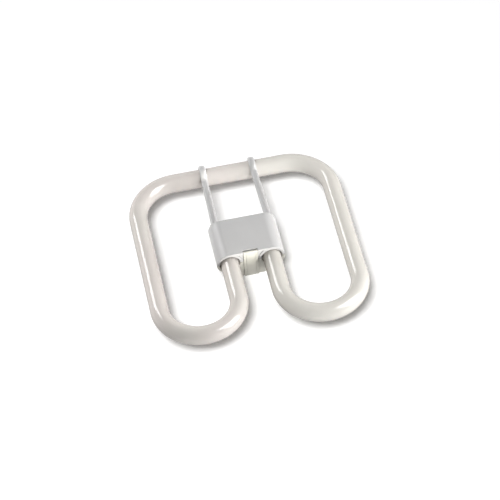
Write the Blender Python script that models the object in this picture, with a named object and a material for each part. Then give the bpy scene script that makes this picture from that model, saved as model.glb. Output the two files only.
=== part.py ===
"""Square compact fluorescent lamp with a two-pin base and a built-in starter.

One coated glass tube is bent into two D-shaped loops. Its ends sit in a moulded base, whose two slim
arms hook over the top run. Metres, +Z up: the lamp lies on the rear boss of its base, flat face up,
top run towards +Y. The origin is in the middle of the outline, on the plane that the boss rests on.
"""
import math

import bmesh
import bpy
from mathutils import Vector

# Glass tube
outline_width = 0.205
outline_height = 0.207
tube_diameter = 0.0175
corner_radius = 0.0406
leg_pitch = 0.040
exhaust_tip_diameter = 0.004
exhaust_tip_length = 0.003
tube_sides_resolution = 12

# Base shell
housing_length = 0.045
housing_bottom_offset = 0.018
cement_room = 0.00175
shell_wall = 0.0019
end_wall = 0.0020
shell_edge_round = 0.0009
overall_thickness = 0.033
parting_gap = 0.0004
waist_recess = 0.0008
tube_end_room = 0.012
socket_clearance = 0.0008
rib_thickness = 0.0016
rib_setback = 0.010

# Tongue of the rear shell, in a slot in the front face's edge
tongue_width = 0.0136
tongue_thickness = 0.0017
tongue_drop = 0.0003
tongue_slit = 0.0015
tongue_groove_width = 0.0007
tongue_groove_depth = 0.0005
tongue_groove_inset = 0.0024

# Boss that plugs into the lampholder
boss_width = 0.029
boss_setback = 0.0102
boss_corner_radius = 0.0025
recess_wall = 0.0034
recess_corner_radius = 0.0015
recess_floor_thickness = 0.0021
grip_groove_depth = 0.0010
grip_groove_height = 0.0020
grip_groove_length = 0.016
grip_groove_lift = 0.0032

# Arms and hooks of the front cover
arm_width = 0.0064
arm_thickness = 0.0030
arm_spread_base = 0.051
arm_spread_tip = 0.048
arm_level = 0.0066
arm_crown = 0.0025
arm_shoulder_share = 0.65
arm_corner_round = 0.0006
hook_clearance = 0.00035
hook_fillet = 0.0045
hook_wrap_angle = 28.0
hook_tip_width = 0.0016
hook_tip_thickness = 0.0018

# Contact pins
pin_pitch = 0.008
pin_diameter = 0.0024
pin_length = 0.0068
pin_head_diameter = 0.0042
pin_head_thickness = 0.0010
pin_hole_clearance = 0.0003

# Starter bulb, capacitor and their cradle
starter_diameter = 0.0084
starter_length = 0.0175
starter_end_room = 0.0040
starter_level = -0.0034
starter_foot_diameter = 0.0052
starter_foot_length = 0.0028
starter_shoulder = 0.0019
starter_terminal_pitch = 0.0044
cradle_rib_thickness = 0.0014
cradle_rib_pitch = 0.010
cradle_shoulder = 0.0011
cradle_wrap_angle = 120.0
capacitor_width = 0.0080
capacitor_height = 0.0042
capacitor_length = 0.0100
capacitor_setback = 0.0045
capacitor_edge_round = 0.0008
capacitor_lead_pitch = 0.0050

# Leads and cement
lead_diameter = 0.0007
lead_pitch = 0.0060
lead_stub = 0.0022
lead_bend = 0.0040
lead_rise = 0.0010
lead_bow = 0.0008
lead_headroom = 0.0026
cement_length = 0.0075
cement_setback = 0.0023

# Space that pieces which touch keep between their faces
touch_gap = 0.0003

# Worked out from the sizes above
tube_radius = tube_diameter / 2
cavity_radius = tube_radius + cement_room
shell_radius = cavity_radius + shell_wall
hook_inner_radius = tube_radius + hook_clearance
hook_middle_radius = hook_inner_radius + arm_thickness / 2
hook_outer_radius = hook_inner_radius + arm_thickness
loop_middle_y = -(hook_outer_radius - tube_radius) / 2
side_run_x = (outline_width - tube_diameter) / 2
top_run_y = loop_middle_y + outline_height / 2 - tube_radius
u_radius = (side_run_x - leg_pitch / 2) / 2
u_middle_y = loop_middle_y - outline_height / 2 + tube_radius + u_radius
boss_drop = overall_thickness - 2 * shell_radius
plane_z = shell_radius + boss_drop
housing_y0 = loop_middle_y - housing_bottom_offset
housing_y1 = housing_y0 + housing_length
cavity_y0 = housing_y0 + end_wall
cavity_y1 = housing_y1 - end_wall
tube_end_y = cavity_y1 - tube_end_room
bore_radius = tube_radius + socket_clearance
rib_y = tube_end_y - rib_setback
tongue_top = shell_radius - tongue_drop
tongue_back = housing_y0 + tongue_thickness
boss_y0 = housing_y0 + waist_recess
boss_y1 = housing_y1 - boss_setback
boss_length = boss_y1 - boss_y0
pins_y = (boss_y0 + boss_y1) / 2
recess_floor_z = plane_z - cavity_radius - recess_floor_thickness
starter_y0 = cavity_y1 - starter_end_room - starter_length
starter_z = plane_z + starter_level
starter_radius = starter_diameter / 2
cradle_seat = starter_radius + touch_gap
lead_radius = lead_diameter / 2
terminal_y = starter_y0 + starter_length + touch_gap + lead_radius

# How far cutters reach past what they cut
beyond = 0.001


def clear_scene():
    """Removes what a new file holds."""
    for item in list(bpy.data.objects):
        bpy.data.objects.remove(item, do_unlink=True)


def material(name, colour, roughness, metallic=0.0):
    """A Principled material with one colour."""
    result = bpy.data.materials.new(name)
    result.use_nodes = True
    shader = result.node_tree.nodes["Principled BSDF"]
    shader.inputs["Base Color"].default_value = (*colour, 1.0)
    shader.inputs["Roughness"].default_value = roughness
    shader.inputs["Metallic"].default_value = metallic
    result.diffuse_color = (*colour, 1.0)
    return result


def add_mesh(name, bm, finish=None, smooth_angle=35.0):
    """Turns a bmesh into an object of the scene, with its faces pointing out."""
    bmesh.ops.recalc_face_normals(bm, faces=bm.faces)
    mesh = bpy.data.meshes.new(name)
    bm.to_mesh(mesh)
    bm.free()
    mesh.shade_smooth()
    mesh.set_sharp_from_angle(angle=math.radians(smooth_angle))
    result = bpy.data.objects.new(name, mesh)
    bpy.context.collection.objects.link(result)
    if finish:
        mesh.materials.append(finish)
    return result


def as_tool(item):
    """Marks an object that only cuts or completes another one."""
    item.hide_render = True
    item.display_type = "WIRE"
    return item


def boolean(target, tool, operation):
    """Adds one exact Boolean to the target."""
    as_tool(tool)
    modifier = target.modifiers.new(tool.name, "BOOLEAN")
    modifier.operation = operation
    modifier.solver = "EXACT"
    modifier.object = tool


def cut(target, *tools):
    for tool in tools:
        boolean(target, tool, "DIFFERENCE")


def unite(target, *tools):
    for tool in tools:
        boolean(target, tool, "UNION")


def round_edges(item, width, segments=3, angle=50.0):
    """Rounds the edges that are sharper than the angle."""
    modifier = item.modifiers.new("rounded edges", "BEVEL")
    modifier.width = width
    modifier.segments = segments
    modifier.limit_method = "ANGLE"
    modifier.angle_limit = math.radians(angle)


def arc(centre, radius, start, end, steps):
    """Points of an arc, both ends included; angles in degrees."""
    points = []
    for step in range(steps + 1):
        angle = math.radians(start + (end - start) * step / steps)
        points.append((centre[0] + radius * math.cos(angle), centre[1] + radius * math.sin(angle)))
    return points


def rounded_box_outline(width, height, radius, steps=5):
    """A rectangle about the origin with round corners."""
    x = width / 2 - radius
    y = height / 2 - radius
    points = []
    for centre, start in (((x, y), 0), ((-x, y), 90), ((-x, -y), 180), ((x, -y), 270)):
        points += arc(centre, radius, start, start + 90, steps)
    return points


def stadium_outline(pitch, radius, steps=28):
    """Two half circles, pitch apart, joined by straight lines."""
    right = arc((pitch / 2, 0.0), radius, -90, 90, steps)
    left = arc((-pitch / 2, 0.0), radius, 90, 270, steps)
    return right + left


def circle_outline(radius, steps=40):
    return arc((0.0, 0.0), radius, 0, 360, steps)[:-1]


def prism(name, outline, axis, low, high, centre=(0.0, 0.0), finish=None):
    """Extrudes a closed outline along X, Y or Z, between two coordinates."""
    place = {
        "X": lambda u, v, w: (w, u, v),
        "Y": lambda u, v, w: (u, w, v),
        "Z": lambda u, v, w: (u, v, w),
    }[axis]
    bm = bmesh.new()
    start = [bm.verts.new(place(u + centre[0], v + centre[1], low)) for u, v in outline]
    face = bm.faces.new(start)
    lifted = bmesh.ops.extrude_face_region(bm, geom=[face])["geom"]
    step = Vector(place(0.0, 0.0, high - low))
    moved = [element for element in lifted if isinstance(element, bmesh.types.BMVert)]
    bmesh.ops.translate(bm, vec=step, verts=moved)
    return add_mesh(name, bm, finish)


def block(name, low, high):
    """A plain box between two corners."""
    outline = [(low[0], low[1]), (high[0], low[1]), (high[0], high[1]), (low[0], high[1])]
    return prism(name, outline, "Z", low[2], high[2])


def rod(name, x, z, radius, y0, y1, steps=40):
    """A round cutter along Y."""
    return prism(name, circle_outline(radius, steps), "Y", y0, y1, (x, z))


def turned(name, profile, finish):
    """Turns a profile about Z, from its outer side's top to its bottom."""
    mesh = bpy.data.meshes.new(name)
    mesh.from_pydata([(r, 0.0, z) for r, z in profile], [(i, i + 1) for i in range(len(profile) - 1)], [])
    mesh.materials.append(finish)
    result = bpy.data.objects.new(name, mesh)
    bpy.context.collection.objects.link(result)
    modifier = result.modifiers.new("turning", "SCREW")
    modifier.axis = "Z"
    modifier.angle = math.tau
    modifier.steps = 20
    modifier.render_steps = 20
    modifier.use_merge_vertices = True
    modifier.merge_threshold = 0.00001
    modifier.use_smooth_shade = True
    return result


def round_bar(name, points, radius, finish, factors=None, sides_resolution=2):
    """A round bar along points, as a filled curve; factors scale its radius point by point."""
    curve = bpy.data.curves.new(name, "CURVE")
    curve.dimensions = "3D"
    curve.bevel_depth = radius
    curve.bevel_resolution = sides_resolution
    curve.use_fill_caps = True
    spline = curve.splines.new("POLY")
    spline.points.add(len(points) - 1)
    for index, point in enumerate(points):
        spline.points[index].co = (*point, 1.0)
        spline.points[index].radius = factors[index] if factors else 1.0
    spline.use_smooth = True
    curve.materials.append(finish)
    result = bpy.data.objects.new(name, curve)
    bpy.context.collection.objects.link(result)
    return result


def smooth_route(corners, steps=5):
    """A smooth line through the corners of a route (Catmull-Rom)."""
    knots = [Vector(corner) for corner in corners]
    knots = [2 * knots[0] - knots[1]] + knots + [2 * knots[-1] - knots[-2]]
    points = []
    for index in range(1, len(knots) - 2):
        before, start, end, after = knots[index - 1:index + 3]
        for step in range(steps):
            t = step / steps
            bend = 2 * before - 5 * start + 4 * end - after
            twist = 3 * start - before - 3 * end + after
            points.append(0.5 * (2 * start + (end - before) * t + bend * t ** 2 + twist * t ** 3))
    points.append(knots[-2])
    return [tuple(point) for point in points]


# Glass tube

def sealed_end():
    """Distances from a leg's end and radius factors: the exhaust tip, then the dome that seals the tube."""
    tip_factor = exhaust_tip_diameter / tube_diameter
    dome_start = math.asin(tip_factor)
    rows = []
    for step in range(3):
        angle = math.radians(30 + 30 * step)
        distance = exhaust_tip_diameter / 2 * (math.cos(math.radians(30)) - math.cos(angle))
        rows.append((distance, tip_factor * math.sin(angle)))
    for step in range(7):
        angle = dome_start + (math.pi / 2 - dome_start) * step / 6
        distance = exhaust_tip_length + tube_radius * (math.cos(dome_start) - math.cos(angle))
        rows.append((distance, math.sin(angle)))
    return rows


def half_loop():
    """The tube's middle line from the right leg's dome to the middle of the top run, in the lamp's plane."""
    corner_x = side_run_x - corner_radius
    points = arc((leg_pitch / 2 + u_radius, u_middle_y), u_radius, 180, 360, 24)
    points += arc((corner_x, top_run_y - corner_radius), corner_radius, 0, 90, 14)
    return points


def build_glass_tube(finish):
    """One tube: right leg, U bend, side run, corner, top run, and the same on the left."""
    rows = sealed_end()
    start_y = tube_end_y + exhaust_tip_length
    end_points = [(leg_pitch / 2, start_y - distance) for distance, factor in rows]
    end_factors = [factor for distance, factor in rows]
    right = end_points + half_loop()
    left = [(-x, y) for x, y in reversed(right)]
    middle = half_loop()
    factors = end_factors + [1.0] * (2 * len(middle)) + end_factors[::-1]
    points = [(x, y, plane_z) for x, y in right + left]
    return round_bar("glass_tube", points, tube_radius, finish, factors, tube_sides_resolution)


# Base shells

def shell_body(name, finish):
    """The base's outer form: a stadium section along Y with its end edges rounded."""
    outline = stadium_outline(leg_pitch, shell_radius)
    result = prism(name, outline, "Y", housing_y0, housing_y1, (0.0, plane_z), finish)
    round_edges(result, shell_edge_round)
    return result


def half_space(name, low, high):
    """A box that spans the base across and along, between two heights."""
    x = leg_pitch / 2 + shell_radius + beyond
    return block(name, (-x, housing_y0 - beyond, low), (x, housing_y1 + beyond, high))


def cavity_parts(name):
    """The hollow of a shell in two lengths, with the rib between them."""
    outline = stadium_outline(leg_pitch, cavity_radius)
    lower = prism(name + " lower hollow", outline, "Y", cavity_y0, rib_y - rib_thickness / 2, (0.0, plane_z))
    upper = prism(name + " upper hollow", outline, "Y", rib_y + rib_thickness / 2, cavity_y1, (0.0, plane_z))
    return [lower, upper]


def socket_bores(name):
    """The two round ways that the tube's legs pass through."""
    reach = rib_y + rib_thickness
    bores = []
    for side in (-1, 1):
        x = side * leg_pitch / 2
        bores.append(rod(f"{name} bore {side}", x, plane_z, bore_radius, housing_y0 - beyond, reach))
    return bores


def waist(name, low, high, overrun=0.0):
    """The shallow recess between the two socket rims, bounded by the rims' own curve."""
    start = math.degrees(math.asin(low / shell_radius))
    end = math.degrees(math.asin(high / shell_radius))
    right = arc((leg_pitch / 2, 0.0), shell_radius, 180 - start, 180 - end, 12)
    if overrun:
        right = [(right[0][0], right[0][1] - overrun)] + right
    left = [(-x, z) for x, z in reversed(right)]
    return prism(name, right + left, "Y", housing_y0 - beyond, housing_y0 + waist_recess, (0.0, plane_z))


def middle_bay(name, low, high):
    """Clears the rib between the tube's ends, for the starter and the leads."""
    half_width = leg_pitch / 2 - tube_radius - touch_gap
    y0 = rib_y - rib_thickness
    y1 = rib_y + rib_thickness
    return block(name, (-half_width, y0, plane_z + low), (half_width, y1, plane_z + high))


def arm_path():
    """The arm's middle line in the YZ plane, with the direction of its upper side at each point."""
    start_y = housing_y1 - end_wall / 2
    blend_radius = hook_middle_radius + hook_fillet
    blend_z = arm_level + hook_fillet
    blend_angle = math.degrees(math.asin(blend_z / blend_radius))
    blend_y = top_run_y - blend_radius * math.cos(math.radians(blend_angle))
    points = [(start_y, arm_level, 90.0)]
    for y, z in arc((blend_y, blend_z), hook_fillet, 270, 360 - blend_angle, 6):
        angle = math.degrees(math.atan2(blend_z - z, blend_y - y))
        points.append((y, z, angle))
    start = 180 - blend_angle
    steps = 20
    for step in range(1, steps + 1):
        angle = start + (-hook_wrap_angle - start) * step / steps
        y = top_run_y + hook_middle_radius * math.cos(math.radians(angle))
        z = hook_middle_radius * math.sin(math.radians(angle))
        points.append((y, z, angle))
    return points


def nose_share(remaining):
    """How wide and thick the arm still is near its rounded end, as a share of its full size."""
    nose_length = arm_width / 2
    if remaining >= nose_length:
        return 1.0
    return math.sqrt(1 - (1 - remaining / nose_length) ** 2)


def arm_section(width, thickness):
    """The arm cut across: small corners at its underside, and a back that falls away to both sides."""
    share = width / arm_width
    corner = arm_corner_round * share
    crown = arm_crown * share
    shoulder = thickness * arm_shoulder_share
    x = width / 2
    top = thickness / 2
    quarter = arc((0.0, 0.0), 1.0, 0, 90, 5)
    back = [(x - crown + crown * u, top - shoulder + shoulder * v) for u, v in quarter]
    right = arc((x - corner, corner - top), corner, -90, 0, 2) + back
    left = [(-u, v) for u, v in reversed(right)]
    return right + left


def build_arm(name, side):
    """Sweeps the arm's section along its path and closes both ends."""
    path = arm_path()
    lengths = [0.0]
    for (y0, z0, a0), (y1, z1, a1) in zip(path, path[1:]):
        lengths.append(lengths[-1] + math.hypot(y1 - y0, z1 - z0))
    total = lengths[-1]
    rings = []
    bm = bmesh.new()
    for (y, z, angle), length in zip(path, lengths):
        share = nose_share(total - length)
        width = max(arm_width * share, hook_tip_width)
        thickness = max(arm_thickness * share, hook_tip_thickness)
        reach = min(max((y - path[0][0]) / (top_run_y - path[0][0]), 0.0), 1.0)
        x = side * (arm_spread_base + (arm_spread_tip - arm_spread_base) * reach) / 2
        up = (math.cos(math.radians(angle)), math.sin(math.radians(angle)))
        ring = []
        for u, v in arm_section(width, thickness):
            ring.append(bm.verts.new((x + u, y + v * up[0], plane_z + z + v * up[1])))
        rings.append(ring)
    bm.faces.new(rings[0])
    bm.faces.new(reversed(rings[-1]))
    for near, far in zip(rings, rings[1:]):
        for index in range(len(near)):
            after = (index + 1) % len(near)
            bm.faces.new((near[index], near[after], far[after], far[index]))
    return add_mesh(name, bm)


def build_front_cover(finish):
    """The front shell: flat face, rounded sides, end walls, half sockets, rib and the two arms."""
    cover = shell_body("front_cover", finish)
    cut(cover, half_space("cover parting", 0.0, plane_z + parting_gap / 2))
    unite(cover, build_arm("left arm", -1), build_arm("right arm", 1))
    cut(cover, *cavity_parts("cover"))
    cut(cover, *socket_bores("cover"))
    cut(cover, waist("cover waist", 0.0, cavity_radius))
    half_slot = tongue_width / 2 + touch_gap
    slot_low = (-half_slot, housing_y0 - beyond, plane_z - beyond)
    slot_high = (half_slot, tongue_back + tongue_slit, plane_z + shell_radius + beyond)
    cut(cover, block("tongue slot", slot_low, slot_high))
    cut(cover, middle_bay("cover bay", 0.0, cavity_radius))
    return cover


def tongue():
    """The tongue that rises from the boss's front wall to the front face, rounded as the shell's edge is."""
    top = plane_z + tongue_top
    edge = arc((housing_y0 + shell_edge_round, top - shell_edge_round), shell_edge_round, 90, 180, 3)
    outline = [(tongue_back, 0.0), (tongue_back, top)] + edge + [(housing_y0, 0.0)]
    return prism("tongue", outline, "X", -tongue_width / 2, tongue_width / 2)


def tongue_grooves():
    """Two fine upright grooves in the tongue's face."""
    grooves = []
    for side in (-1, 1):
        x = side * (tongue_width / 2 - tongue_groove_inset)
        low = (x - tongue_groove_width / 2, housing_y0 - beyond, -beyond)
        high = (x + tongue_groove_width / 2, housing_y0 + tongue_groove_depth, plane_z + tongue_top + beyond)
        grooves.append(block(f"tongue groove {side}", low, high))
    return grooves


def boss():
    """The block that plugs into the lampholder, down to the plane that the lamp rests on."""
    outline = rounded_box_outline(boss_width, boss_length, boss_corner_radius)
    top = plane_z - cavity_radius - beyond / 2
    return prism("boss", outline, "Z", 0.0, top, (0.0, pins_y))


def recess():
    """The hollow behind the pins, open to the rear."""
    width = boss_width - 2 * recess_wall
    length = boss_length - 2 * recess_wall
    outline = rounded_box_outline(width, length, recess_corner_radius)
    return prism("pin recess", outline, "Z", -beyond, recess_floor_z, (0.0, pins_y))


def grip_grooves():
    """Grooves on the boss's sides that the lampholder's springs snap into."""
    grooves = []
    for side in (-1, 1):
        inner = boss_width / 2 - grip_groove_depth
        outer = boss_width / 2 + beyond
        x0, x1 = sorted((side * inner, side * outer))
        low = (x0, pins_y - grip_groove_length / 2, grip_groove_lift)
        high = (x1, pins_y + grip_groove_length / 2, grip_groove_lift + grip_groove_height)
        grooves.append(block(f"grip groove {side}", low, high))
    return grooves


def pin_holes():
    """The holes through the recess floor, one for each pin."""
    holes = []
    for side in (-1, 1):
        outline = circle_outline(pin_diameter / 2 + pin_hole_clearance, 24)
        centre = (side * pin_pitch / 2, pins_y)
        top = plane_z - cavity_radius + beyond
        holes.append(prism(f"pin hole {side}", outline, "Z", recess_floor_z - beyond, top, centre))
    return holes


def cradle():
    """Two ribs on the rear shell's floor with a round seat for the starter bulb."""
    ribs = []
    floor = plane_z - cavity_radius - recess_floor_thickness / 2
    middle_y = starter_y0 + starter_length / 2
    half_width = cradle_seat + cradle_shoulder
    for side in (-1, 1):
        seat = arc((0.0, starter_z), cradle_seat, cradle_wrap_angle / 2 - 90, -cradle_wrap_angle / 2 - 90, 14)
        right = [(half_width, floor), (half_width, seat[0][1])]
        left = [(-half_width, seat[-1][1]), (-half_width, floor)]
        outline = right + seat + left
        y0 = middle_y + side * cradle_rib_pitch / 2 - cradle_rib_thickness / 2
        ribs.append(prism(f"cradle rib {side}", outline, "Y", y0, y0 + cradle_rib_thickness))
    return ribs


def build_rear_housing(finish):
    """The rear shell: rounded sides, half sockets, boss with its recess, tongue, rib and cradle."""
    rear = shell_body("rear_housing", finish)
    upper = plane_z + shell_radius + beyond
    cut(rear, half_space("rear parting", plane_z - parting_gap / 2, upper))
    cut(rear, waist("rear waist", -shell_radius, 0.0, beyond))
    unite(rear, boss())
    cut(rear, *cavity_parts("rear"))
    cut(rear, *socket_bores("rear"))
    cut(rear, middle_bay("rear bay", -cavity_radius, 0.0))
    unite(rear, tongue())
    cut(rear, recess())
    cut(rear, *pin_holes())
    cut(rear, *grip_grooves())
    cut(rear, *tongue_grooves())
    unite(rear, *cradle())
    return rear


# Inner pieces

def build_contact_pin(side, finish):
    """A riveted pin: head inside the base, shank through the floor, rounded end in the recess."""
    name = "contact_pin_left" if side < 0 else "contact_pin_right"
    floor_top = plane_z - cavity_radius
    head_low = floor_top + touch_gap
    collar_top = recess_floor_z - touch_gap
    pin_radius = pin_diameter / 2
    tip_z = recess_floor_z - pin_length
    profile = [(0.0, head_low + pin_head_thickness)]
    profile += [(pin_head_diameter / 2, head_low + pin_head_thickness), (pin_head_diameter / 2, head_low)]
    profile += [(pin_radius, head_low), (pin_radius, collar_top)]
    profile += [(pin_head_diameter / 2, collar_top), (pin_head_diameter / 2, collar_top - pin_head_thickness / 2)]
    profile += [(pin_radius, collar_top - pin_head_thickness / 2)]
    profile += arc((0.0, tip_z + pin_radius), pin_radius, 0, -90, 6)
    result = turned(name, profile, finish)
    result.location = (side * pin_pitch / 2, pins_y, 0.0)
    return result


def build_starter_bulb(finish):
    """A small sealed glass bulb: domed end, straight wall, pinched foot that the leads leave."""
    foot_radius = starter_foot_diameter / 2
    shoulder_z = starter_foot_length + starter_shoulder
    profile = arc((0.0, starter_length - starter_radius), starter_radius, 90, 0, 8)
    profile[0] = (0.0, starter_length)
    profile += [(starter_radius, shoulder_z), (foot_radius, starter_foot_length), (foot_radius, 0.0), (0.0, 0.0)]
    result = turned("starter_bulb", profile, finish)
    result.rotation_euler = (math.pi / 2, 0.0, 0.0)
    result.location = (0.0, starter_y0 + starter_length, starter_z)
    return result


def capacitor_low_corner():
    """Where the capacitor lies on the starter bulb."""
    y = starter_y0 + capacitor_setback
    return (-capacitor_width / 2, y, starter_z + starter_radius + touch_gap)


def build_capacitor(finish):
    """A small dipped block that lies on the starter bulb."""
    low = capacitor_low_corner()
    outline = rounded_box_outline(capacitor_width, capacitor_height, capacitor_edge_round, 3)
    centre = (0.0, low[2] + capacitor_height / 2)
    result = prism("starter_capacitor", outline, "Y", low[1], low[1] + capacitor_length, centre, finish)
    round_edges(result, capacitor_edge_round / 2, 2)
    return result


def glass_exit(side, offset):
    """The point on a tube end's dome where a lead leaves the glass, with a clear gap."""
    dome_y = tube_end_y - tube_radius + math.sqrt(tube_radius ** 2 - offset ** 2)
    return (side * leg_pitch / 2 + offset, dome_y + touch_gap, plane_z)


def pin_lead_route(side):
    """From the inner side of a tube end, down beside the starter bulb, to just over the pin's head."""
    x, y, z = glass_exit(side, -side * lead_pitch / 2)
    head_top = plane_z - cavity_radius + touch_gap + pin_head_thickness
    bay_x = side * (cradle_seat + cradle_shoulder + touch_gap + lead_radius)
    pin_x = side * pin_pitch / 2
    route = [(x, y, z), (x, y + lead_stub, z), (x - side * lead_bend, y + lead_bend, z - lead_rise)]
    route += [(bay_x, y + lead_rise, starter_z), (bay_x, y - starter_radius, starter_z - starter_radius / 2)]
    route += [((bay_x + pin_x) / 2, pins_y + lead_stub, head_top + lead_headroom)]
    route += [(pin_x, pins_y, head_top + touch_gap + lead_radius)]
    return route


def starter_lead_route(side):
    """From the outer side of a tube end, round the exhaust tip, to the starter bulb's foot."""
    x, y, z = glass_exit(side, side * lead_pitch / 2)
    end_x = side * starter_terminal_pitch / 2
    route = [(x, y, z), (x, y + lead_stub, z), (x - side * lead_bend, terminal_y - lead_bend / 2, z + lead_rise)]
    route += [(side * leg_pitch / 4, terminal_y + lead_bow, z), (2 * end_x, terminal_y + lead_bow, z - lead_rise)]
    route += [(end_x, terminal_y, starter_z)]
    return route


def capacitor_lead_route(side):
    """From the capacitor's end, down to the starter bulb's foot."""
    low = capacitor_low_corner()
    x = side * capacitor_lead_pitch / 2
    y = low[1] + capacitor_length + touch_gap
    z = low[2] + capacitor_height / 2
    end = (side * starter_terminal_pitch / 2, terminal_y, starter_z + lead_diameter + touch_gap)
    return [(x, y, z), (x, y + lead_stub, z - lead_diameter), (x, terminal_y, (z + end[2]) / 2), end]


def build_leads(finish):
    """Four wires from the tube's ends and two from the capacitor, each clear of its neighbours."""
    for side, word in ((-1, "left"), (1, "right")):
        round_bar("pin_lead_" + word, smooth_route(pin_lead_route(side)), lead_radius, finish)
        round_bar("starter_lead_" + word, smooth_route(starter_lead_route(side)), lead_radius, finish)
        round_bar("capacitor_lead_" + word, smooth_route(capacitor_lead_route(side)), lead_radius, finish)


def build_cement(side, finish):
    """A ring of cement between the tube's leg and the shells, just inside the socket's mouth."""
    name = "socket_cement_left" if side < 0 else "socket_cement_right"
    y0 = housing_y0 + cement_setback
    centre = (side * leg_pitch / 2, plane_z)
    outer = circle_outline(cavity_radius - touch_gap, 32)
    ring = prism(name, outer, "Y", y0, y0 + cement_length, centre, finish)
    inner = circle_outline(tube_radius + touch_gap, 32)
    hole = prism(name + " hole", inner, "Y", y0 - beyond, y0 + cement_length + beyond, centre)
    cut(ring, hole)
    return ring


def main():
    clear_scene()
    coated_glass = material("coated glass", (0.80, 0.77, 0.74), 0.18)
    cover_plastic = material("cover plastic", (0.70, 0.70, 0.70), 0.42)
    rear_plastic = material("rear plastic", (0.74, 0.73, 0.67), 0.45)
    pin_metal = material("pin metal", (0.78, 0.72, 0.55), 0.28, 1.0)
    starter_glass = material("starter glass", (0.75, 0.76, 0.74), 0.10)
    capacitor_dip = material("capacitor dip", (0.55, 0.30, 0.10), 0.40)
    lead_metal = material("lead metal", (0.72, 0.70, 0.66), 0.35, 1.0)
    cement = material("cement", (0.72, 0.68, 0.60), 0.90)
    build_glass_tube(coated_glass)
    build_front_cover(cover_plastic)
    build_rear_housing(rear_plastic)
    build_starter_bulb(starter_glass)
    build_capacitor(capacitor_dip)
    build_leads(lead_metal)
    for side in (-1, 1):
        build_contact_pin(side, pin_metal)
        build_cement(side, cement)


main()
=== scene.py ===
"""Looks of the square compact fluorescent lamp.

Fine meshes stand for the glass tube, the two shells of the base and the pins, and every piece gets a
procedural material. Metres, +Z up: the lamp lies on its rear boss with the flat face up.
"""

import math

import bmesh
import bpy
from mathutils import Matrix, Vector


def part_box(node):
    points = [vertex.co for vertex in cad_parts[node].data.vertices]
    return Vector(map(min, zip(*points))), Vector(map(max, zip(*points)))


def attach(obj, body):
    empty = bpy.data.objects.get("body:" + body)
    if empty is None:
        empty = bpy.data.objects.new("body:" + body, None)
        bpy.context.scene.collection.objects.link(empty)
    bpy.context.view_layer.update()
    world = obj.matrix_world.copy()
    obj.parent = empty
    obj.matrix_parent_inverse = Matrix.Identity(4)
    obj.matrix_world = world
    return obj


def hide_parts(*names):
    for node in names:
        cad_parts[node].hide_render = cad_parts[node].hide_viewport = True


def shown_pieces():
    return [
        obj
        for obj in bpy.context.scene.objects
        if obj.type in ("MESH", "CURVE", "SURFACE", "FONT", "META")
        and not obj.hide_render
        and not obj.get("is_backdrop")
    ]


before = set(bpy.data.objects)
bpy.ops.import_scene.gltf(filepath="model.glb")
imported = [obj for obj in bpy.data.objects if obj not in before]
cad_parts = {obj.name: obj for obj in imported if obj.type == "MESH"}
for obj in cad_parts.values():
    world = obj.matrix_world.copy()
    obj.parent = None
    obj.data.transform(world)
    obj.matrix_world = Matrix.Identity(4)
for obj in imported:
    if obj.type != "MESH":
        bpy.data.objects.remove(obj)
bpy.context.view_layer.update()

# Sizes of the solids, read from their boxes
glass_low, glass_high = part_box("glass_tube")
cover_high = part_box("front_cover")[1]
rear_low, rear_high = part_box("rear_housing")
tube_radius = (glass_high.z - glass_low.z) / 2
plane_z = (glass_low.z + glass_high.z) / 2
shell_radius = cover_high.z - plane_z
housing_y0 = rear_low.y
housing_y1 = rear_high.y
leg_x = rear_high.x - shell_radius
side_run_x = glass_high.x - tube_radius
top_run_y = glass_high.y - tube_radius
u_radius = (side_run_x - leg_x) / 2
u_y = glass_low.y + tube_radius + u_radius

# Sizes that the boxes don't give
corner_radius = 0.0406
exhaust_tip_radius = 0.002
exhaust_tip_length = 0.003
shell_wall = 0.0019
end_wall = 0.0020
shell_edge_round = 0.0009
parting_gap = 0.0004
waist_recess = 0.0008
socket_clearance = 0.0008
mouth_round = 0.0007
tube_end_room = 0.012
tongue_width = 0.0136
tongue_thickness = 0.0017
tongue_drop = 0.0003
tongue_slit = 0.0015
groove_width = 0.0007
groove_depth = 0.0005
groove_inset = 0.0024
edge_groove_share = 0.4
boss_width = 0.029
boss_setback = 0.0102
boss_corner_radius = 0.0025
boss_edge_round = 0.0006
recess_wall = 0.0034
recess_corner_radius = 0.0015
recess_floor_thickness = 0.0021
recess_mouth_flare = 0.0004
grip_groove_depth = 0.0010
grip_groove_height = 0.0020
grip_groove_length = 0.016
grip_groove_lift = 0.0032
arm_width = 0.0064
arm_thickness = 0.0030
arm_spread_base = 0.051
arm_spread_tip = 0.048
arm_level = 0.0066
arm_crown = 0.0025
arm_shoulder_share = 0.65
arm_corner_round = 0.0005
arm_root_flare = 0.0016
arm_root_length = 0.0030
hook_fillet = 0.0080
hook_wrap_angle = 28.0
hook_tip_width = 0.0012
hook_tip_thickness = 0.0016
pin_pitch = 0.008
pin_diameter = 0.0024
pin_length = 0.0068
pin_collar_diameter = 0.0042
pin_collar_thickness = 0.0005
pin_head_thickness = 0.0010
pin_edge_round = 0.00012
pin_hole_clearance = 0.0003
rib_thickness = 0.0016
rib_setback = 0.010
cradle_rib_thickness = 0.0014
cradle_rib_pitch = 0.010
cradle_shoulder = 0.0011
cradle_wrap_angle = 120.0
touch_gap = 0.0003
floor_drop = 0.00005
point_radius = 0.00001

# How far cutters reach past what they cut, and the parting's cutter past the upper end
beyond = 0.001
far_beyond = 0.1

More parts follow.
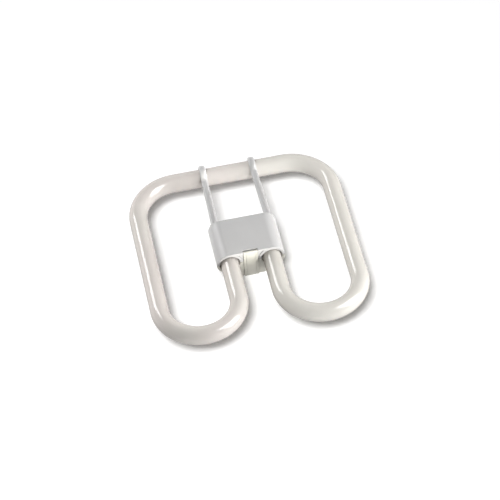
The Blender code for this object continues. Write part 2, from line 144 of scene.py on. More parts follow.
cavity_radius = shell_radius - shell_wall
bore_radius = tube_radius + socket_clearance
tube_end_y = housing_y1 - end_wall - tube_end_room
rib_y = tube_end_y - rib_setback
tongue_top = plane_z + shell_radius - tongue_drop
tongue_back = housing_y0 + tongue_thickness
boss_y0 = housing_y0 + waist_recess
boss_y1 = housing_y1 - boss_setback
pins_y = (boss_y0 + boss_y1) / 2
recess_floor_z = plane_z - cavity_radius - recess_floor_thickness
hook_radius = (cover_high.y - top_run_y) - arm_thickness / 2


# Meshes

def add_mesh(name, bm, finish=None, smooth_angle=40.0):
    """Turns a bmesh into an object of the scene, with its faces pointing out."""
    bmesh.ops.recalc_face_normals(bm, faces=bm.faces)
    mesh = bpy.data.meshes.new(name)
    bm.to_mesh(mesh)
    bm.free()
    mesh.shade_smooth()
    mesh.set_sharp_from_angle(angle=math.radians(smooth_angle))
    result = bpy.data.objects.new(name, mesh)
    bpy.context.collection.objects.link(result)
    if finish:
        mesh.materials.append(finish)
    return result


def apply_modifiers(item):
    """Leaves the finished mesh and no modifier on an object."""
    depsgraph = bpy.context.evaluated_depsgraph_get()
    mesh = bpy.data.meshes.new_from_object(item.evaluated_get(depsgraph))
    item.modifiers.clear()
    item.data = mesh


def combine(target, tools, operation):
    """Applies exact Booleans to the target and deletes the tools."""
    for tool in tools:
        modifier = target.modifiers.new(tool.name, "BOOLEAN")
        modifier.operation = operation
        modifier.solver = "EXACT"
        modifier.object = tool
    apply_modifiers(target)
    for tool in tools:
        bpy.data.objects.remove(tool, do_unlink=True)


def cut(target, *tools):
    combine(target, tools, "DIFFERENCE")


def unite(target, *tools):
    combine(target, tools, "UNION")


def dress(item, finish, smooth_angle=32.0):
    """Smooth shading that stops at edges sharper than the angle, and the piece's one material."""
    item.data.shade_smooth()
    item.data.set_sharp_from_angle(angle=math.radians(smooth_angle))
    item.data.materials.clear()
    item.data.materials.append(finish)


def arc(centre, radius, start, end, steps):
    """Points of an arc, both ends included; angles in degrees."""
    points = []
    for step in range(steps + 1):
        angle = math.radians(start + (end - start) * step / steps)
        points.append((centre[0] + radius * math.cos(angle), centre[1] + radius * math.sin(angle)))
    return points


def rounded_box_outline(width, height, radius, steps=8):
    """A rectangle about the origin with round corners."""
    x = width / 2 - radius
    y = height / 2 - radius
    points = []
    for centre, start in (((x, y), 0), ((-x, y), 90), ((-x, -y), 180), ((x, -y), 270)):
        points += arc(centre, radius, start, start + 90, steps)
    return points


def stadium_outline(radius, steps=56):
    """The base's section: two half circles joined by straight lines."""
    return arc((leg_x, 0.0), radius, -90, 90, steps) + arc((-leg_x, 0.0), radius, 90, 270, steps)


def circle_outline(radius, steps=72):
    return arc((0.0, 0.0), radius, 0, 360, steps)[:-1]


def loft(name, rings, finish=None):
    """Skins a list of rings of points, each with as many points, and closes both ends."""
    bm = bmesh.new()
    rows = [[bm.verts.new(point) for point in ring] for ring in rings]
    for near, far in zip(rows, rows[1:]):
        for index in range(len(near)):
            after = (index + 1) % len(near)
            bm.faces.new((near[index], near[after], far[after], far[index]))
    bm.faces.new(rows[0])
    bm.faces.new(reversed(rows[-1]))
    return add_mesh(name, bm, finish)


def prism(name, outline, axis, low, high, centre=(0.0, 0.0)):
    """Extrudes a closed outline along X, Y or Z, between two coordinates."""
    place = {
        "X": lambda u, v, w: (w, u, v),
        "Y": lambda u, v, w: (u, w, v),
        "Z": lambda u, v, w: (u, v, w),
    }[axis]
    rings = [[place(u + centre[0], v + centre[1], w) for u, v in outline] for w in (low, high)]
    return loft(name, rings)


def block(name, low, high):
    """A plain box between two corners."""
    outline = [(low[0], low[1]), (high[0], low[1]), (high[0], high[1]), (low[0], high[1])]
    return prism(name, outline, "Z", low[2], high[2])


def turned(name, profile, axis_place, steps=64, finish=None):
    """Turns a profile of (radius, height) pairs about an axis; axis_place puts u, v and w in the scene."""
    rings = []
    for radius, height in profile:
        outline = circle_outline(max(radius, point_radius), steps)
        rings.append([axis_place(u, v, height) for u, v in outline])
    return loft(name, rings, finish)


# Glass tube

def centre_line():
    """Points of the tube's middle line, from the right leg's dome round to the left leg's."""
    corner_x = side_run_x - corner_radius
    half = []
    leg_top = tube_end_y - tube_radius
    leg_steps = 30
    for step in range(leg_steps):
        half.append((leg_x, leg_top + (u_y - leg_top) * step / leg_steps))
    half += arc((leg_x + u_radius, u_y), u_radius, 180, 360, 84)
    side_steps = 44
    side_top = top_run_y - corner_radius
    for step in range(1, side_steps):
        half.append((side_run_x, u_y + (side_top - u_y) * step / side_steps))
    half += arc((corner_x, side_top), corner_radius, 0, 90, 46)
    run_steps = 34
    for step in range(1, run_steps + 1):
        half.append((corner_x * (1 - step / run_steps), top_run_y))
    return half + [(-x, y) for x, y in reversed(half[:-1])]


def sealed_end():
    """Distances past the leg's straight part, and radii: first the dome, then the exhaust tip."""
    dome_end = math.degrees(math.acos(exhaust_tip_radius / tube_radius))
    dome = arc((0.0, 0.0), tube_radius, 90, 90 - dome_end, 11)[1:]
    tip_y = tube_radius + exhaust_tip_length - exhaust_tip_radius
    tip = arc((0.0, tip_y), exhaust_tip_radius, 0, 80, 6)
    return [(y, radius) for radius, y in [(v, u) for u, v in dome] + tip]


def running_lengths(points):
    """How far each point of a line is from its start."""
    lengths = [0.0]
    for before, after in zip(points, points[1:]):
        lengths.append(lengths[-1] + math.dist(before, after))
    return lengths


def build_glass(finish):
    """The tube as one fine sweep with sealed round ends, and how far each point is from its end."""
    path = [Vector((x, y, plane_z)) for x, y in centre_line()]
    sides = 64
    circle = circle_outline(1.0, sides)
    up = Vector((0.0, 0.0, 1.0))
    lengths = running_lengths(path)
    rings = []
    distances = []
    for index, point in enumerate(path):
        along = (path[min(index + 1, len(path) - 1)] - path[max(index - 1, 0)]).normalized()
        side = along.cross(up)
        rings.append([point + tube_radius * (side * u + up * v) for u, v in circle])
        distances.append(min(lengths[index], lengths[-1] - lengths[index]))
    domes = []
    for end, before in ((path[0], path[1]), (path[-1], path[-2])):
        outward = (end - before).normalized()
        side = outward.cross(up)
        dome = []
        for distance, radius in sealed_end():
            middle = end + outward * distance
            dome.append([middle + radius * (side * u + up * v) for u, v in circle])
        domes.append(dome)
    first = [mirror_ring(ring) for ring in domes[0]]
    rows = list(reversed(first)) + rings + domes[1]
    result = loft("glass_envelope", rows, finish)
    spread = [0.0] * len(first) + distances + [0.0] * len(domes[1])
    layer = result.data.attributes.new("end_distance", "FLOAT", "POINT")
    values = [value for value in spread for _ in range(sides)]
    layer.data.foreach_set("value", values)
    return result


def mirror_ring(ring):
    """The same ring of points, walked the other way from the same start."""
    return [ring[0]] + list(reversed(ring[1:]))


# Base shells

def rounded_stadium(name):
    """The base's outer form, with the edges of both ends rounded."""
    rings = []
    steps = 6
    for step in range(steps + 1):
        angle = math.radians(90.0 * step / steps)
        inset = shell_edge_round * (1 - math.sin(angle))
        offset = shell_edge_round * (1 - math.cos(angle))
        rings.append((shell_radius - inset, offset))
    rows = [(radius, housing_y0 + offset) for radius, offset in rings]
    rows += [(radius, housing_y1 - offset) for radius, offset in reversed(rings)]
    return loft(name, [[(u, y, plane_z + v) for u, v in stadium_outline(radius)] for radius, y in rows])


def half_space(name, low, high):
    """A box that spans the base across and along, between two heights."""
    x = leg_x + shell_radius + beyond
    return block(name, (-x, housing_y0 - beyond, low), (x, housing_y1 + far_beyond, high))


def hollow(name):
    """The inside of a shell in two lengths, with the rib between them."""
    outline = stadium_outline(cavity_radius, 40)
    spans = (("lower", housing_y0 + end_wall, rib_y - rib_thickness / 2),
             ("upper", rib_y + rib_thickness / 2, housing_y1 - end_wall))
    return [prism(f"{name} {end} hollow", outline, "Y", y0, y1, (0.0, plane_z)) for end, y0, y1 in spans]


def middle_bay(name, low, high):
    """Clears the rib between the tube's ends, for the starter and the leads."""
    x = leg_x - tube_radius - touch_gap
    y0 = rib_y - rib_thickness
    y1 = rib_y + rib_thickness
    return block(name, (-x, y0, plane_z + low), (x, y1, plane_z + high))


def socket(name, side):
    """A round way for the tube, with a mouth that opens in a small radius."""
    profile = [(bore_radius + mouth_round + beyond, housing_y0 - beyond)]
    for step in range(7):
        angle = math.radians(90.0 * step / 6)
        radius = bore_radius + mouth_round * (1 - math.sin(angle))
        profile.append((radius, housing_y0 + mouth_round * (1 - math.cos(angle))))
    profile.append((bore_radius, rib_y + rib_thickness))
    return turned(name, profile, lambda u, v, w: (side * leg_x + u, w, plane_z + v), 96)


def waist(name, low, high, overrun=0.0):
    """The shallow recess between the two socket rims."""
    start = math.degrees(math.asin(low / shell_radius))
    end = math.degrees(math.asin(high / shell_radius))
    right = arc((leg_x, 0.0), shell_radius, 180 - start, 180 - end, 24)
    if overrun:
        right = [(right[0][0], right[0][1] - overrun)] + right
    left = [(-x, z) for x, z in reversed(right)]
    return prism(name, right + left, "Y", housing_y0 - beyond, housing_y0 + waist_recess, (0.0, plane_z))


def arm_path():
    """The arm's middle line in the YZ plane, with the direction of its upper side at each point."""
    start_y = housing_y1 - end_wall / 2
    blend_radius = hook_radius + hook_fillet
    blend_z = arm_level + hook_fillet
    blend_angle = math.degrees(math.asin(blend_z / blend_radius))
    blend_y = top_run_y - blend_radius * math.cos(math.radians(blend_angle))
    points = []
    straight_steps = 26
    closer_at_start = 1.6
    for step in range(straight_steps):
        share = (step / straight_steps) ** closer_at_start
        points.append((start_y + (blend_y - start_y) * share, arm_level, 90.0))
    for y, z in arc((blend_y, blend_z), hook_fillet, 270, 360 - blend_angle, 14):
        points.append((y, z, math.degrees(math.atan2(blend_z - z, blend_y - y))))
    start = 180 - blend_angle
    steps = 44
    for step in range(1, steps + 1):
        angle = start + (-hook_wrap_angle - start) * step / steps
        y = top_run_y + hook_radius * math.cos(math.radians(angle))
        z = hook_radius * math.sin(math.radians(angle))
        points.append((y, z, angle))
    return points


def nose_share(remaining):
    """How wide and thick the arm still is near its rounded end, as a share of its full size."""
    nose_length = arm_width / 2
    if remaining >= nose_length:
        return 1.0
    return math.sqrt(1 - (1 - remaining / nose_length) ** 2)


def arm_section(width, thickness):
    """A flat underside with small corners, and a back that falls away to both sides."""
    share = min(width / arm_width, 1.0)
    corner = arm_corner_round * share
    crown = arm_crown * share
    shoulder = thickness * arm_shoulder_share
    x = width / 2
    top = thickness / 2
    quarter = arc((0.0, 0.0), 1.0, 0, 90, 10)
    back = [(x - crown + crown * u, top - shoulder + shoulder * v) for u, v in quarter]
    right = arc((x - corner, corner - top), corner, -90, 0, 4) + back
    return right + [(-u, v) for u, v in reversed(right)]


def build_arm(name, side):
    """Sweeps the arm's section along its path, wider where it grows out of the end wall."""
    path = arm_path()
    lengths = running_lengths([(y, z) for y, z, _ in path])
    rings = []
    for (y, z, angle), length in zip(path, lengths):
        share = nose_share(lengths[-1] - length)
        from_wall = max(length - end_wall / 2, 0.0)
        flare = arm_root_flare * max(1 - from_wall / arm_root_length, 0.0) ** 2.5
        width = max(arm_width * share, hook_tip_width) + 2 * flare
        thickness = max(arm_thickness * share, hook_tip_thickness) + flare
        reach = min(max((y - path[0][0]) / (top_run_y - path[0][0]), 0.0), 1.0)
        x = side * (arm_spread_base + (arm_spread_tip - arm_spread_base) * reach) / 2
        lean = math.radians(angle)
        section = arm_section(width, thickness)
        rings.append([(x + u, y + v * math.cos(lean), plane_z + z + v * math.sin(lean)) for u, v in section])
    return loft(name, rings)


def build_cover(finish):
    """The front shell: flat face, rounded sides, sockets and the two arms."""
    cover = rounded_stadium("front_shell")
    cut(cover, half_space("cover parting", 0.0, plane_z + parting_gap / 2))
    unite(cover, build_arm("left arm", -1), build_arm("right arm", 1))
    cut(cover, *hollow("cover"), socket("cover left socket", -1), socket("cover right socket", 1))
    cut(cover, waist("cover waist", 0.0, cavity_radius))
    half_slot = tongue_width / 2 + touch_gap
    low = (-half_slot, housing_y0 - beyond, plane_z - beyond)
    high = (half_slot, tongue_back + tongue_slit, plane_z + shell_radius + beyond)
    cut(cover, block("tongue slot", low, high))
    cut(cover, middle_bay("cover bay", 0.0, cavity_radius))
    dress(cover, finish)
    return cover


def tongue():
    """The tongue that rises from the boss's front wall to the front face, rounded as the shell's edge is."""
    corner = (housing_y0 + shell_edge_round, tongue_top - shell_edge_round)
    outline = [(tongue_back, 0.0), (tongue_back, tongue_top)] + arc(corner, shell_edge_round, 90, 180, 8)
    outline.append((housing_y0, 0.0))
    return prism("tongue", outline, "X", -tongue_width / 2, tongue_width / 2)


def tongue_grooves():
    """Fine upright grooves: two in the tongue's face, and one beside each of its edges."""
    in_face = (groove_inset, groove_depth)
    at_edge = (-edge_groove_share * groove_width, waist_recess + groove_depth)
    grooves = []
    for side in (-1, 1):
        for inset, depth in (in_face, at_edge):
            x = side * (tongue_width / 2 - inset)
            low = (x - groove_width / 2, housing_y0 - beyond, -beyond)
            high = (x + groove_width / 2, housing_y0 + depth, plane_z + shell_radius)
            grooves.append(block(f"tongue groove {side} {depth}", low, high))
    return grooves


def boss():
    """The block that plugs into the lampholder, with the edges of its foot rounded."""
    length = boss_y1 - boss_y0
    rings = []
    steps = 5
    for step in range(steps + 1):
        angle = math.radians(90.0 * step / steps)
        inset = boss_edge_round * (1 - math.sin(angle))
        z = boss_edge_round * (1 - math.cos(angle))
        outline = rounded_box_outline(boss_width - 2 * inset, length - 2 * inset, boss_corner_radius - inset)
        rings.append([(u, pins_y + v, z) for u, v in outline])
    top = plane_z - cavity_radius - beyond / 2
    outline = rounded_box_outline(boss_width, length, boss_corner_radius)
    rings.append([(u, pins_y + v, top) for u, v in outline])
    return loft("boss", rings)


def recess():
    """The hollow behind the pins, open to the rear, with its mouth slightly wider."""
    width = boss_width - 2 * recess_wall
    length = boss_y1 - boss_y0 - 2 * recess_wall
    flare = recess_mouth_flare
    rings = []
    for grow, z in ((flare + beyond, -beyond), (flare, 0.0), (0.0, flare), (0.0, recess_floor_z)):
        outline = rounded_box_outline(width + 2 * grow, length + 2 * grow, recess_corner_radius + grow)
        rings.append([(u, pins_y + v, z) for u, v in outline])
    return loft("pin recess", rings)


def grip_grooves():
    """Grooves on the boss's sides that the lampholder's springs snap into."""
    grooves = []
    for side in (-1, 1):
        inner = boss_width / 2 - grip_groove_depth
        x0, x1 = sorted((side * inner, side * (boss_width / 2 + beyond)))
        low = (x0, pins_y - grip_groove_length / 2, grip_groove_lift)
        high = (x1, pins_y + grip_groove_length / 2, grip_groove_lift + grip_groove_height)
        grooves.append(block(f"grip groove {side}", low, high))
    return grooves


def pin_holes():
    """The holes through the recess floor, one for each pin."""
    outline = circle_outline(pin_diameter / 2 + pin_hole_clearance, 40)
    low = recess_floor_z - beyond
    high = plane_z - cavity_radius + beyond
    holes = []
    for side in (-1, 1):
        holes.append(prism(f"pin hole {side}", outline, "Z", low, high, (side * pin_pitch / 2, pins_y)))
    return holes


def cradle():
    """Two ribs on the rear shell's floor with a round seat for the starter bulb."""
    low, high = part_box("starter_bulb")
    seat_radius = (high.z - low.z) / 2 + touch_gap
    starter_z = (low.z + high.z) / 2
    floor = plane_z - cavity_radius - recess_floor_thickness / 2
    x = seat_radius + cradle_shoulder
    seat = arc((0.0, starter_z), seat_radius, cradle_wrap_angle / 2 - 90, -cradle_wrap_angle / 2 - 90, 28)
    outline = [(x, floor), (x, seat[0][1])] + seat + [(-x, seat[-1][1]), (-x, floor)]
    ribs = []
    for side in (-1, 1):
        y0 = (low.y + high.y) / 2 + side * cradle_rib_pitch / 2 - cradle_rib_thickness / 2
        ribs.append(prism(f"cradle rib {side}", outline, "Y", y0, y0 + cradle_rib_thickness))
    return ribs


def build_rear(finish):
    """The rear shell: rounded sides, sockets, boss with its recess, tongue, rib and cradle."""
    rear = rounded_stadium("rear_shell")
    cut(rear, half_space("rear parting", plane_z - parting_gap / 2, plane_z + shell_radius + beyond))
    cut(rear, waist("rear waist", -shell_radius, 0.0, beyond))
    unite(rear, boss())
    cut(rear, *hollow("rear"), socket("rear left socket", -1), socket("rear right socket", 1))
    cut(rear, middle_bay("rear bay", -cavity_radius, 0.0))
    unite(rear, tongue())
    cut(rear, recess())
    cut(rear, *pin_holes())
    cut(rear, *grip_grooves(), *tongue_grooves())
    unite(rear, *cradle())
    dress(rear, finish)
    return rear


def build_pin(name, side, finish):
    """A riveted pin: head inside the base, shank through the floor, collar and rounded end in the recess."""
    radius = pin_diameter / 2
    collar = pin_collar_diameter / 2
    edge = pin_edge_round
    head_low = plane_z - cavity_radius + touch_gap
    head_top = head_low + pin_head_thickness
    collar_top = recess_floor_z - touch_gap
    collar_low = collar_top - pin_collar_thickness
    tip = recess_floor_z - pin_length
    profile = [(collar - edge, head_top), (collar, head_top - edge), (collar, head_low), (radius, head_low)]
    profile += [(radius, collar_top), (collar - edge, collar_top), (collar, collar_top - edge)]
    profile += [(collar, collar_low + edge), (collar - edge, collar_low)]
    profile += [(radius + edge, collar_low), (radius, collar_low - edge)]
    profile += arc((0.0, tip + radius), radius, 0, -90, 9)
    return turned(name, profile, lambda u, v, w: (side * pin_pitch / 2 + u, pins_y + v, w), 48, finish)


# Materials

class Material:
    """A node material with short ways to add nodes."""

    def __init__(self, name):
        self.material = bpy.data.materials.new(name)
        self.material.use_nodes = True
        self.nodes = self.material.node_tree.nodes
        self.links = self.material.node_tree.links
        self.shader = self.nodes["Principled BSDF"]
        self.place = self.nodes.new("ShaderNodeTexCoord").outputs["Object"]

    def link(self, source, target):
        if isinstance(source, (int, float, tuple)):
            target.default_value = source
        else:
            self.links.new(source, target)

    def axis(self, name):
        node = self.nodes.new("ShaderNodeSeparateXYZ")
        self.links.new(self.place, node.inputs["Vector"])
        return node.outputs[name]

    def scaled(self, factors):
        node = self.nodes.new("ShaderNodeMapping")
        node.inputs["Scale"].default_value = factors
        self.links.new(self.place, node.inputs["Vector"])
        return node.outputs["Vector"]

    def noise(self, scale, detail=3.0, roughness=0.5, vector=None, distortion=0.0):
        node = self.nodes.new("ShaderNodeTexNoise")
        node.inputs["Scale"].default_value = scale
        node.inputs["Detail"].default_value = detail
        node.inputs["Roughness"].default_value = roughness
        node.inputs["Distortion"].default_value = distortion
        self.links.new(vector or self.place, node.inputs["Vector"])
        return node.outputs["Fac"]

    def cells(self, scale):
        node = self.nodes.new("ShaderNodeTexVoronoi")
        node.inputs["Scale"].default_value = scale
        self.links.new(self.place, node.inputs["Vector"])
        return node.outputs["Distance"]

    def spread(self, value, low, high, to_low, to_high):
        """Maps a value from one range to another and clamps it."""
        node = self.nodes.new("ShaderNodeMapRange")
        for name, number in (("From Min", low), ("From Max", high), ("To Min", to_low), ("To Max", to_high)):
            node.inputs[name].default_value = number
        self.link(value, node.inputs["Value"])
        return node.outputs["Result"]

    def math(self, operation, first, second):
        node = self.nodes.new("ShaderNodeMath")
        node.operation = operation
        self.link(first, node.inputs[0])
        self.link(second, node.inputs[1])
        return node.outputs[0]

    def mix(self, factor, first, second, blend="MIX"):
        node = self.nodes.new("ShaderNodeMix")
        node.data_type = "RGBA"
        node.blend_type = blend
        self.link(factor, node.inputs[0])
        for value, target in ((first, node.inputs[6]), (second, node.inputs[7])):
            self.link((*value, 1.0) if isinstance(value, tuple) else value, target)
        return node.outputs[2]

    def attribute(self, name):
        node = self.nodes.new("ShaderNodeAttribute")
        node.attribute_name = name
        return node.outputs["Fac"]

    def bump(self, height, distance, strength=1.0, normal=None):
        node = self.nodes.new("ShaderNodeBump")
        node.inputs["Distance"].default_value = distance
        node.inputs["Strength"].default_value = strength
        self.links.new(height, node.inputs["Height"])
        if normal:
            self.links.new(normal, node.inputs["Normal"])
        return node.outputs["Normal"]

    def finish(self, colour=None, roughness=None, normal=None, **constants):
        for value, name in ((colour, "Base Color"), (roughness, "Roughness"), (normal, "Normal")):
            if value is not None:
                self.link((*value, 1.0) if isinstance(value, tuple) else value, self.shader.inputs[name])
        for name, value in constants.items():
            self.shader.inputs[name.replace("_", " ").title().replace("Ior", "IOR")].default_value = value
        return self.material


def coated_glass():
    """Clear drawn glass over white powder: glossy, a warm white that is a little uneven, with a painted tint
    of light and shade that runs across the lamp.
    """
    m = Material("coated glass")
    cloud = m.spread(m.noise(34.0, 3.0, 0.55), 0.32, 0.68, 0.0, 1.0)
    rosy = m.mix(cloud, (0.794, 0.748, 0.708), (0.761, 0.714, 0.674))
    creamy = m.mix(cloud, (0.777, 0.760, 0.707), (0.744, 0.727, 0.674))
    # Painted tint of light and shade: rosier towards the left and the top run, creamier towards the right
    # and the front, mixed into a random drift
    across = m.spread(m.axis("X"), -0.02, 0.07, -0.08, 0.12)
    lean = m.math("ADD", across, m.spread(m.axis("Y"), 0.03, top_run_y, 0.06, -0.16))
    drift_and_shade_tint = m.spread(m.math("ADD", m.noise(9.0, 2.0, 0.5), lean), 0.40, 0.60, 0.0, 1.0)
    warm = m.mix(drift_and_shade_tint, rosy, creamy)
    powder = m.noise(1500.0, 2.0, 0.6)
    grain = m.mix(m.spread(powder, 0.35, 0.65, 0.0, 0.06), warm, (0.615, 0.571, 0.527))
    end = m.attribute("end_distance")
    aged = m.mix(m.spread(end, 0.020, 0.046, 0.22, 0.0), grain, (0.457, 0.404, 0.352))
    dust = m.spread(m.noise(620.0, 4.0, 0.7), 0.60, 0.72, 0.0, 0.10)
    film = m.spread(m.noise(26.0, 4.0, 0.6), 0.35, 0.70, 0.045, 0.085)
    waves = m.bump(m.noise(1.0, 1.5, 0.4, m.scaled((46.0, 46.0, 70.0))), 0.00022, 0.5)
    return m.finish(aged, m.math("ADD", film, dust), waves, ior=1.5, coat_weight=1.0, coat_roughness=0.03,
                    coat_ior=1.01, coat_tint=(0.865, 0.860, 0.860, 1.0))


def moulded_plastic(name, colour, shade, roughness, grain=0.000018):
    """Spark-eroded mould skin: fine grain, faint flow clouds and rubbed, smoother spots."""
    m = Material(name)
    flow = m.noise(1.0, 3.0, 0.55, m.scaled((38.0, 22.0, 50.0)), 0.4)
    tone = m.mix(m.spread(flow, 0.30, 0.70, 0.0, 1.0), colour, shade)
    specks = m.spread(m.noise(2600.0, 2.0, 0.6), 0.62, 0.74, 0.0, 0.10)
    tone = m.mix(specks, tone, tuple(value * 0.72 for value in colour))
    rubbed = m.spread(m.noise(95.0, 4.0, 0.62), 0.40, 0.66, roughness + 0.05, roughness - 0.05)
    skin = m.bump(m.noise(3400.0, 2.0, 0.55), grain, 0.7)
    sink = m.bump(m.noise(60.0, 1.0, 0.4), 0.00012, 0.35, skin)
    return m.finish(tone, rubbed, sink)


def turned_metal(name, colour, shade, roughness):
    """Drawn or turned metal with fine rings along Z and a dull film."""
    m = Material(name)
    rings = m.noise(1.0, 2.0, 0.6, m.scaled((120.0, 120.0, 9000.0)))
    tarnish = m.spread(m.noise(700.0, 4.0, 0.6), 0.40, 0.68, 0.0, 1.0)
    tone = m.mix(tarnish, colour, shade)
    rough = m.spread(tarnish, 0.0, 1.0, roughness, roughness + 0.16)
    return m.finish(tone, rough, m.bump(rings, 0.000012, 0.5), metallic=1.0)


def powdery(name, colour, shade, scale, roughness):
    """A dull mineral or dipped surface with clouds and pores."""
    m = Material(name)
    cloud = m.spread(m.noise(scale, 5.0, 0.65), 0.30, 0.70, 0.0, 1.0)
    pores = m.spread(m.cells(scale * 6), 0.05, 0.35, 0.0, 1.0)
    tone = m.mix(cloud, colour, shade)
    rough = m.spread(cloud, 0.0, 1.0, roughness, roughness + 0.08)
    return m.finish(tone, rough, m.bump(pores, 0.00005, 0.4))


def starter_glass():
    """Clear bulb glass over a grey getter film."""
    m = Material("starter glass")
    film = m.spread(m.noise(220.0, 3.0, 0.6), 0.35, 0.65, 0.0, 1.0)
    tone = m.mix(film, (0.62, 0.63, 0.62), (0.44, 0.45, 0.46))
    return m.finish(tone, m.spread(film, 0.0, 1.0, 0.05, 0.12), m.bump(film, 0.00005, 0.3))


def floor_material():
    """A white sweep that the camera and clear reflections see as plain white, with the lamp's shadow."""
    m = Material("white sweep")
    path = m.nodes.new("ShaderNodeLightPath")
    seen = m.math("MAXIMUM", path.outputs["Is Camera Ray"], path.outputs["Is Glossy Ray"])
    seen = m.math("MAXIMUM", seen, path.outputs["Is Transmission Ray"])
    m.nodes.remove(m.shader)
    plain = m.nodes.new("ShaderNodeBsdfDiffuse")
    fibre = m.spread(m.noise(420.0, 3.0, 0.6), 0.3, 0.7, 0.0, 1.0)
    paper = m.mix(fibre, (0.86, 0.86, 0.86), (0.84, 0.84, 0.84))
    m.link(m.mix(seen, paper, floor_seen_colour), plain.inputs["Color"])
    m.link(plain.outputs[0], m.nodes["Material Output"].inputs["Surface"])
    return m.material


# Stage, light and camera

floor_seen_colour = (1.12, 1.12, 1.12)
world_level = 0.18
lamp_centre = Vector((0.0, 0.0, 0.02))
beam_distance = 2.6
floor_reach = 4.0
target = Vector((0.0015, -0.006834, 0.0206))
camera_azimuth = -8.221
camera_elevation = 49.345
camera_roll = -4.371
camera_distance = 2.1531
focal_pixels = 2305.1
picture_pixels = 500.0


def direction(azimuth, elevation):
    """A unit vector towards a place round the lamp; azimuth 0 is the front, -Y, and turns towards +X."""
    a = math.radians(azimuth)
    e = math.radians(elevation)
    return Vector((math.sin(a) * math.cos(e), -math.cos(a) * math.cos(e), math.sin(e)))


def add_camera():
    """The photograph's viewpoint."""
    back = direction(camera_azimuth, camera_elevation)
    level = Vector((math.cos(math.radians(camera_azimuth)), math.sin(math.radians(camera_azimuth)), 0.0))
    up = back.cross(level)
    roll = math.radians(camera_roll)
    right = level * math.cos(roll) + up * math.sin(roll)
    top = up * math.cos(roll) - level * math.sin(roll)
    camera = bpy.data.cameras.new("camera")
    camera.sensor_width = 36.0
    camera.lens = focal_pixels * camera.sensor_width / picture_pixels
    camera.clip_end = 20.0
    item = bpy.data.objects.new("camera", camera)
    bpy.context.collection.objects.link(item)
    place = target + back * camera_distance
    columns = (right, top, back, place)
    for column, vector in enumerate(columns):
        for row in range(3):
            item.matrix_world[row][column] = vector[row]
    bpy.context.scene.camera = item


def place_light(name, light, azimuth, elevation, distance, aim, reflected, colour):
    """Hangs a light round the lamp, turned to the aim, with or without a reflection of itself."""
    light.color = colour
    item = bpy.data.objects.new(name, light)
    bpy.context.collection.objects.link(item)
    item.location = aim + direction(azimuth, elevation) * distance
    item.rotation_euler = direction(azimuth, elevation).to_track_quat("Z", "Y").to_euler()
    item.visible_camera = False
    item.visible_glossy = reflected
    return item


def add_panel(name, azimuth, elevation, distance, size, level, reflected=False, colour=(1.0, 1.0, 1.0)):
    """A soft panel that gives a face turned to it that share of white."""
    light = bpy.data.lights.new(name, "AREA")
    light.shape = "RECTANGLE"
    light.size, light.size_y = size
    light.energy = level * math.pi ** 2 * distance ** 2
    return place_light(name, light, azimuth, elevation, distance, lamp_centre, reflected, colour)


def add_spot(name, azimuth, elevation, aim, cone, blend, softness, level, colour=(1.0, 1.0, 1.0)):
    """A soft-edged beam that gives a face turned to it that share of white."""
    light = bpy.data.lights.new(name, "SPOT")
    light.energy = 4 * level * math.pi ** 2 * beam_distance ** 2
    light.spot_size = math.radians(cone)
    light.spot_blend = blend
    light.shadow_soft_size = softness
    return place_light(name, light, azimuth, elevation, beam_distance, Vector(aim), False, colour)


def add_floor():
    """The plain floor, just under the plane that the lamp rests on."""
    corners = ((-1, -1), (1, -1), (1, 1), (-1, 1))
    bm = bmesh.new()
    bm.faces.new([bm.verts.new((x * floor_reach, y * floor_reach, -floor_drop)) for x, y in corners])
    floor = add_mesh("floor", bm, floor_material())
    floor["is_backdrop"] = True
    return floor


def add_world():
    """An even white all round, at a low level."""
    world = bpy.data.worlds.new("studio")
    bpy.context.scene.world = world
    world.use_nodes = True
    background = world.node_tree.nodes["Background"]
    background.inputs["Color"].default_value = (1.0, 1.0, 1.0, 1.0)
    background.inputs["Strength"].default_value = world_level


def limit_lights(name, lights, receivers):
    """Lets some lights fall on these objects alone."""
    group = bpy.data.collections.new(name)
    for item in receivers:
        group.objects.link(item)
    for light in lights:
        light.light_linking.receiver_collection = group


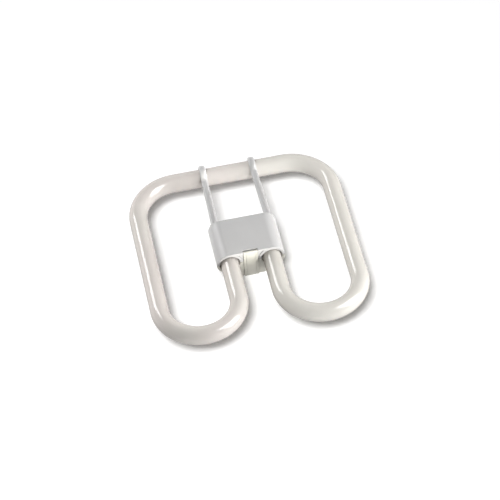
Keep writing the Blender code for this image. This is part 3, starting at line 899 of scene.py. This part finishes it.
def add_lights(floor):
    """Panels and beams. Each has an azimuth and an elevation, and each group falls on its own pieces."""
    sheen = add_panel("reflected box on the right", 66.0, 41.0, 1.5, (0.85, 1.45), 2.2, reflected=True)
    sheen.visible_diffuse = False
    lamp_lights = [
        sheen,
        add_panel("window at the back left", -137.0, 38.0, 2.0, (0.46, 1.08), 0.42, reflected=True),
        add_panel("low panel at the back left", -143.0, 8.0, 2.6, (1.2, 1.2), 1.14),
        add_panel("low panel on the right", 61.0, 12.0, 1.1, (0.44, 0.44), 0.29),
        add_panel("high panel on the right", 30.0, 60.0, 0.7, (0.28, 0.28), 0.22),
        add_panel("low panel at the right side", 98.0, 10.0, 2.6, (1.2, 1.2), 1.06),
        add_panel("low panel at the front right", 30.0, 10.0, 2.6, (1.2, 1.2), 0.48),
    ]
    glass_lights = [
        add_spot("beam along the top run", 8.0, 12.0, (0.030, 0.121, 0.106), 6.4, 0.6, 0.05, 0.54),
    ]
    base_lights = [
        add_spot("beam on the sockets", 9.0, 5.0, (0.003, -0.045, 0.067), 2.2, 1.0, 0.02, 2.85,
                 colour=(1.0, 0.98, 0.92)),
        add_panel("low panel at the base's right", 96.0, 5.0, 2.6, (0.8, 0.5), 0.32,
                  colour=(1.0, 0.98, 0.94)),
    ]
    floor_lights = [add_panel("lamp over the floor", -35.0, 64.0, 9.0, (3.96, 3.96), 0.90)]
    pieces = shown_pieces()
    glass_pieces = [piece for piece in pieces if "glass" in piece.name]
    base_pieces = [piece for piece in pieces if "glass" not in piece.name]
    limit_lights("lamp only", lamp_lights, pieces)
    limit_lights("glass only", glass_lights, glass_pieces)
    limit_lights("base only", base_lights, base_pieces)
    limit_lights("floor only", floor_lights, [floor])


def main():
    scene = bpy.context.scene
    scene.view_settings.view_transform = "Standard"
    # The cover is the same plastic as the rear shell; its darker, greyer colour is painted shade
    front = moulded_plastic("cover plastic", (0.469, 0.466, 0.465), (0.449, 0.446, 0.445), 0.36)
    rear = moulded_plastic("rear plastic", (0.545, 0.536, 0.484), (0.522, 0.512, 0.463), 0.38)
    brass = turned_metal("pin metal", (0.74, 0.66, 0.46), (0.58, 0.50, 0.34), 0.24)
    glass = build_glass(coated_glass())
    cover = build_cover(front)
    base = build_rear(rear)
    pins = [build_pin("left_pin", -1, brass), build_pin("right_pin", 1, brass)]
    slots = ((glass, "glass_tube", "coated_glass"), (cover, "front_cover", "cover_plastic"),
             (base, "rear_housing", "rear_plastic"), (pins[0], "contact_pin_left", "pin_metal"),
             (pins[1], "contact_pin_right", "pin_metal"))
    for piece, node, slot in slots:
        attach(piece, "root")
        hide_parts(node)
    wire = turned_metal("lead metal", (0.66, 0.64, 0.60), (0.50, 0.48, 0.45), 0.30)
    dip = powdery("capacitor dip", (0.50, 0.25, 0.08), (0.40, 0.19, 0.06), 260.0, 0.32)
    cement = powdery("cement", (0.66, 0.62, 0.54), (0.56, 0.52, 0.45), 180.0, 0.86)
    inner = {"starter_bulb": starter_glass(), "starter_capacitor": dip}
    for name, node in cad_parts.items():
        if "lead" in name:
            inner[name] = wire
        elif "cement" in name:
            inner[name] = cement
    for name, finish in inner.items():
        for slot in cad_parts[name].material_slots:
            slot.material = finish
    add_world()
    add_lights(add_floor())
    add_camera()


main()
